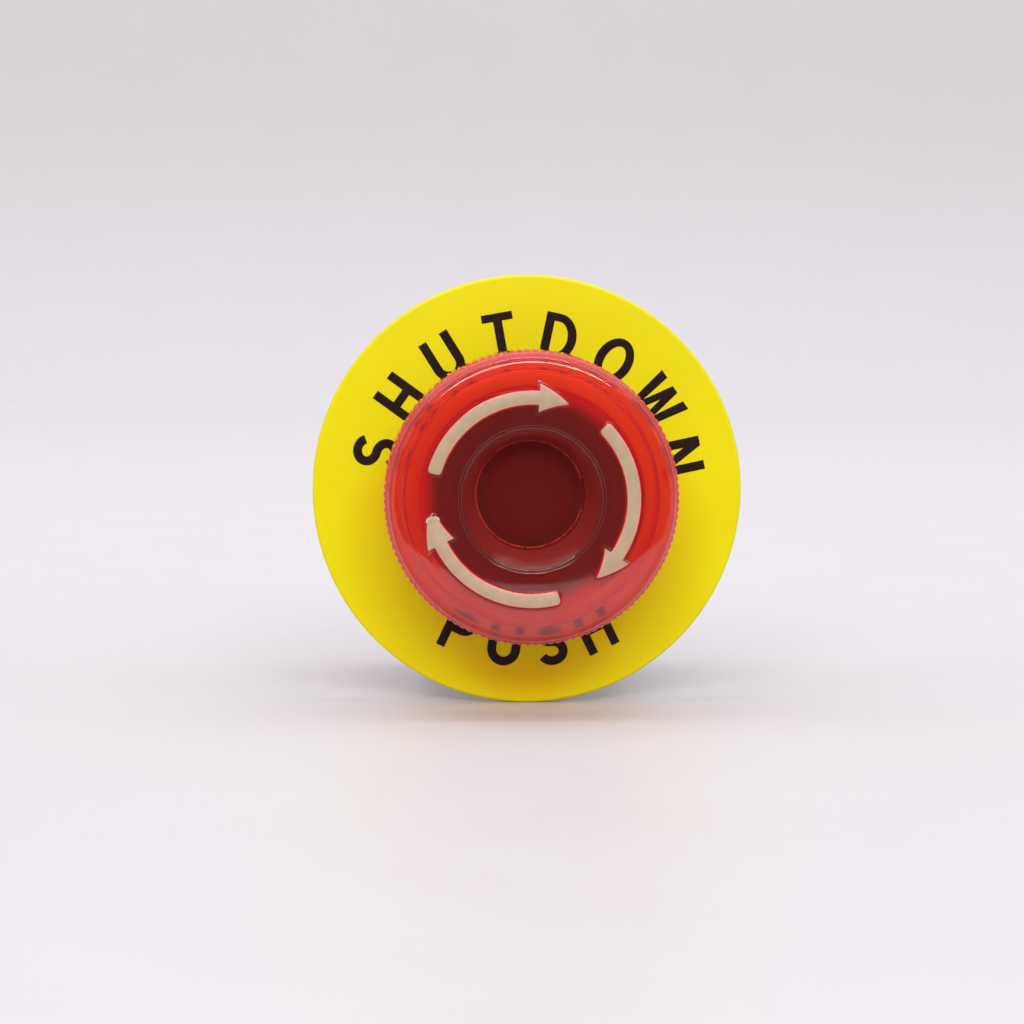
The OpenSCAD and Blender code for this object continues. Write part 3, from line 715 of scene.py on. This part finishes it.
def make_arrow(index, tail, tip_r):
    """The beige print over the top of one arrow boss, a thin closed sheet with rounded sides, whose
    sides and ends are painted light pink as a painted highlight.
    """
    neck = ARROW_SWEEP_DEG - ARROW_HEAD_DEG
    rows = []
    tail_steps, shaft_steps, head_steps = 6, 60, 14
    end = ARROW_HEAD_DEG - math.degrees(tip_r / ARROW_MID)
    for i in range(tail_steps):
        a = math.radians(90 * (1 - i / tail_steps))
        back = math.degrees(ARROW_TAIL_ROUND * math.sin(a) / ARROW_MID)
        rows.append((-back, ARROW_W / 2 - ARROW_TAIL_ROUND * (1 - math.cos(a))))
    for i in range(shaft_steps + 1):
        rows.append((neck * i / shaft_steps, ARROW_W / 2))
    for i in range(head_steps + 1):
        narrow = ARROW_HALF + (tip_r - ARROW_HALF) * i / head_steps
        rows.append((neck + end * i / head_steps, narrow + HEAD_WIDER))
    for i in range(1, tail_steps + 1 if tip_r else 0):
        a = math.radians(90 * i / tail_steps)
        ahead = math.degrees(tip_r * math.sin(a) / ARROW_MID)
        rows.append((neck + end + ahead, tip_r * math.cos(a) + TIP_WIDER))
    section = [(-1, out, drop) for out, drop in PRINT_EDGE]
    section += [(1, out, drop) for out, drop in PRINT_EDGE[::-1]]
    across = len(section) - 1
    # the columns of the rounded sides, which are painted light pink as a highlight
    highlight_cols = (0, 1, across - 2, across - 1)
    bm = bmesh.new()
    layers = []
    for lift in (PRINT_TOP - PRINT_THICK, PRINT_TOP):
        grid = []
        for along, half in rows:
            line = []
            for side, out, drop in section:
                r = ARROW_MID + side * (half - PRINT_EDGE[0][0] / 2 + out)
                line.append(bm.verts.new(at(r, tail - along, face_height(r) + lift - drop)))
            grid.append(line)
        layers.append(grid)
    under, over = layers
    last = len(rows) - 1
    for i in range(last):
        for j in range(across):
            for grid in layers:
                here, ahead = grid[i], grid[i + 1]
                face = bm.faces.new([here[j], ahead[j], ahead[j + 1], here[j + 1]])
                face.material_index = int(j in highlight_cols)
        for j in (0, across):
            side = bm.faces.new([under[i][j], under[i + 1][j], over[i + 1][j], over[i][j]])
            side.material_index = 1
    for i in (0, last):
        for j in range(across):
            cap = bm.faces.new([under[i][j], under[i][j + 1], over[i][j + 1], over[i][j]])
            cap.material_index = 1
    arrow = finish_mesh(f"arrow_{index}", bm, PRINT_SMOOTH_DEG)
    add_piece(arrow, "knob", "arrow_beige", ARROW_LOOKS, ["arrow_marks"])


for arrow_index, (arrow_tail, arrow_tip_r) in enumerate(ARROWS):
    make_arrow(arrow_index + 1, arrow_tail, arrow_tip_r)


# ---- springs ----

BLOCK_X = 10.0
COIL_STEPS = 36
WIRE_SIDES = 10
WIRE_SMOOTH_DEG = 50
# the rise of a closed end's turn, in wire diameters
CLOSED_RISE = 1.08
RING_START_DEG = 100
RING_SWEEP_DEG = 340
RING_STEPS = 120
# node, body, mean radius, wire diameter, turns, centre (x, z), joint that presses it
SPRINGS = (
    ("return_spring", "housing", 8.2, 0.8, 6, (0, 0), "knob_push"),
    ("twist_spring", "plunger", 5.95, 0.6, 4, (0, 0), None),
    ("nc_spring", "housing", 1.25, 0.4, 7, (-BLOCK_X, 0), "nc_travel"),
    ("no_spring", "housing", 1.25, 0.4, 7, (BLOCK_X, 0), "no_travel"),
    ("lamp_pin_spring", "housing", 1.8, 0.4, 6, (0, 0), None),
)


def make_wire(node, body, path, wire_d, centre=(0, 0)):
    """Round wire in place of a CAD node, along a path of (radius, angle, height) about a centre."""
    bm = bmesh.new()
    rings = []
    for mean_r, turned, h in path:
        a = math.radians(turned)
        ring = []
        for j in range(WIRE_SIDES):
            b = math.radians(360 * j / WIRE_SIDES)
            r = mean_r + wire_d / 2 * math.cos(b)
            ring.append(bm.verts.new(((centre[0] + r * math.cos(a)) * MM,
                                      -(h + wire_d / 2 * math.sin(b)) * MM,
                                      (centre[1] + r * math.sin(a)) * MM)))
        rings.append(ring)
    for a, b in zip(rings, rings[1:]):
        for j in range(WIRE_SIDES):
            k = (j + 1) % WIRE_SIDES
            bm.faces.new([a[j], b[j], b[k], a[k]])
    bm.faces.new(rings[0])
    bm.faces.new(rings[-1])
    wire = finish_mesh(node + "_wire", bm, WIRE_SMOOTH_DEG)
    add_piece(wire, body, "spring_steel", replaces=[node])
    return wire


def make_spring(node, body, mean_r, wire_d, turns, centre, joint):
    """A compression spring with closed ends, on the body that holds its back end; one that a joint
    presses gets a mesh of its own.
    """
    low, high = height_range(node)
    low, high = low + wire_d / 2, high - wire_d / 2
    closed = wire_d * CLOSED_RISE
    path = []
    for i in range(turns * COIL_STEPS + 1):
        turn = i / COIL_STEPS
        if turn < 1:
            h = low + closed * turn
        elif turn > turns - 1:
            h = high - closed * (turns - turn)
        else:
            h = low + closed + (high - low - 2 * closed) * (turn - 1) / (turns - 2)
        path.append((mean_r, 360 * turn, h))
    spring = make_wire(node, body, path, wire_d, centre)
    if joint:
        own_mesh(spring)


def make_ring_spring():
    """The open wire ring round the latch, which narrows as it draws the two pawls in."""
    low, high = height_range("latch_ring_spring")
    wire_d = high - low
    mean_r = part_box("latch_ring_spring")[1].x / MM - wire_d / 2
    path = [(mean_r, RING_START_DEG + RING_SWEEP_DEG * i / RING_STEPS, (low + high) / 2)
            for i in range(RING_STEPS + 1)]
    ring = make_wire("latch_ring_spring", "plunger", path, wire_d)
    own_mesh(ring)


for spring_row in SPRINGS:
    make_spring(*spring_row)
make_ring_spring()


# ---- edges of the carried-over CAD parts ----


EDGE_SEGMENTS = 2
EDGE_ANGLE_DEG = 40
# the width of the rounded edges, in millimetres, and the parts that get it
EDGE_WIDTHS = {
    0.25: ("block_base", "nc_case", "no_case", "lamp_case", "panel_nut", "lock_lever"),
    0.15: ("nc_cover", "no_cover", "lamp_cover", "pusher_bar"),
    0.1: ("lock_washer", "base_screws", "latch_pawl_left", "latch_pawl_right"),
    0.08: ("bezel_housing", "nc_screws", "no_screws", "lamp_screws"),
}


def soften(node, width_mm):
    bevel = frame["nodes"][node].modifiers.new("edge", "BEVEL")
    bevel.width = width_mm * MM
    bevel.segments = EDGE_SEGMENTS
    bevel.limit_method = "ANGLE"
    bevel.angle_limit = math.radians(EDGE_ANGLE_DEG)


for edge_width, edge_nodes in EDGE_WIDTHS.items():
    for edge_node in edge_nodes:
        soften(edge_node, edge_width)


# ---- floor, backdrop, light ----

FLOOR_FRONT_Y = -0.225
BACK_WALL_Y = 0.98
WALL_TOP_Z = 2.2
STAGE_HALF = 3.0
# painted shade: the floor paper is darker near the front than at the back, standing in for how the
# lamps fall on it
FLOOR_NEAR_COLOR = (0.565, 0.546, 0.563)
FLOOR_FAR_COLOR = (0.715, 0.693, 0.715)
# painted light: the wall paper is lighter at its foot, standing in for light bounced up from the
# floor, and darker towards its top
WALL_LOW_COLOR = (0.7, 0.68, 0.7)
WALL_HIGH_COLOR = (0.585, 0.558, 0.568)


def make_sheet(name, corners, look):
    """A flat sheet of backdrop paper."""
    mesh = bpy.data.meshes.new(name)
    mesh.from_pydata(corners, [], [(0, 1, 2, 3)])
    sheet = new_object(name, mesh)
    paint(sheet, look.mat)


def make_stage():
    left, right, near, far = -STAGE_HALF, STAGE_HALF, FLOOR_FRONT_Y, BACK_WALL_Y
    floor_look = Look("stage_floor_paper", FLOOR_NEAR_COLOR)
    # painted shade: darker near the front, lighter towards the back
    floor_look.shade_along("Y", -0.25, 0.75, FLOOR_FAR_COLOR).vary_roughness(40, 0.42, 0.5)
    make_sheet("stage_floor", [(left, near, FLOOR_Z), (right, near, FLOOR_Z),
                               (right, far, FLOOR_Z), (left, far, FLOOR_Z)], floor_look)
    wall_look = Look("stage_wall_paper", WALL_LOW_COLOR)
    # painted light: lighter at the wall's foot as light bounced from the floor, darker towards the
    # top
    wall_look.shade_along("Z", -0.04, 0.12, WALL_HIGH_COLOR).vary_roughness(40, 0.55, 0.7)
    make_sheet("stage_wall", [(left, far, FLOOR_Z), (right, far, FLOOR_Z),
                              (right, far, WALL_TOP_Z), (left, far, WALL_TOP_Z)], wall_look)


make_stage()


def soft_light(name, place, aim, size, power):
    data = bpy.data.lights.new(name, "AREA")
    data.shape = "RECTANGLE"
    data.size, data.size_y = size
    data.energy = power
    light = bpy.data.objects.new(name, data)
    bpy.context.scene.collection.objects.link(light)
    light.location = place
    light.rotation_euler = (Vector(aim) - Vector(place)).to_track_quat("-Z", "Y").to_euler()


soft_light("light_front", (0, -1.3, 0.62), (0, 0, 0), (1.0, 0.34), 17.5)
soft_light("light_strip", (0, -0.05, 0.6), (0, 0, 0), (0.4, 0.05), 0.5)
soft_light("light_back", (0, 0.3, 1.1), (0, 0.5, 0), (2.6, 0.9), 10.2)


WORLD_STRENGTH = 0.86
DARK_ROOM_COLOR = (0.085, 0.075, 0.08)
WHITE_WALL_COLOR = (0.93, 0.91, 0.95)
# the Y of a direction at which the dark room starts to fade, and at which it has
DARK_ROOM_FADE = (-0.96, -0.62)


def make_world():
    """White walls all round, and a dark room behind the camera."""
    world = bpy.data.worlds.new("world")
    world.use_nodes = True
    tree = world.node_tree
    coords = tree.nodes.new("ShaderNodeTexCoord")
    split = tree.nodes.new("ShaderNodeSeparateXYZ")
    blend = tree.nodes.new("ShaderNodeMapRange")
    blend.interpolation_type = "SMOOTHSTEP"
    blend.inputs["From Min"].default_value = DARK_ROOM_FADE[0]
    blend.inputs["From Max"].default_value = DARK_ROOM_FADE[1]
    mix = tree.nodes.new("ShaderNodeMix")
    mix.data_type = "RGBA"
    mix.inputs["A"].default_value = (*DARK_ROOM_COLOR, 1)
    mix.inputs["B"].default_value = (*WHITE_WALL_COLOR, 1)
    tree.links.new(coords.outputs["Generated"], split.inputs["Vector"])
    tree.links.new(split.outputs["Y"], blend.inputs["Value"])
    tree.links.new(blend.outputs["Result"], mix.inputs["Factor"])
    background = tree.nodes["Background"]
    tree.links.new(mix.outputs["Result"], background.inputs["Color"])
    background.inputs["Strength"].default_value = WORLD_STRENGTH
    bpy.context.scene.world = world


make_world()
bpy.context.scene.view_settings.view_transform = "Standard"
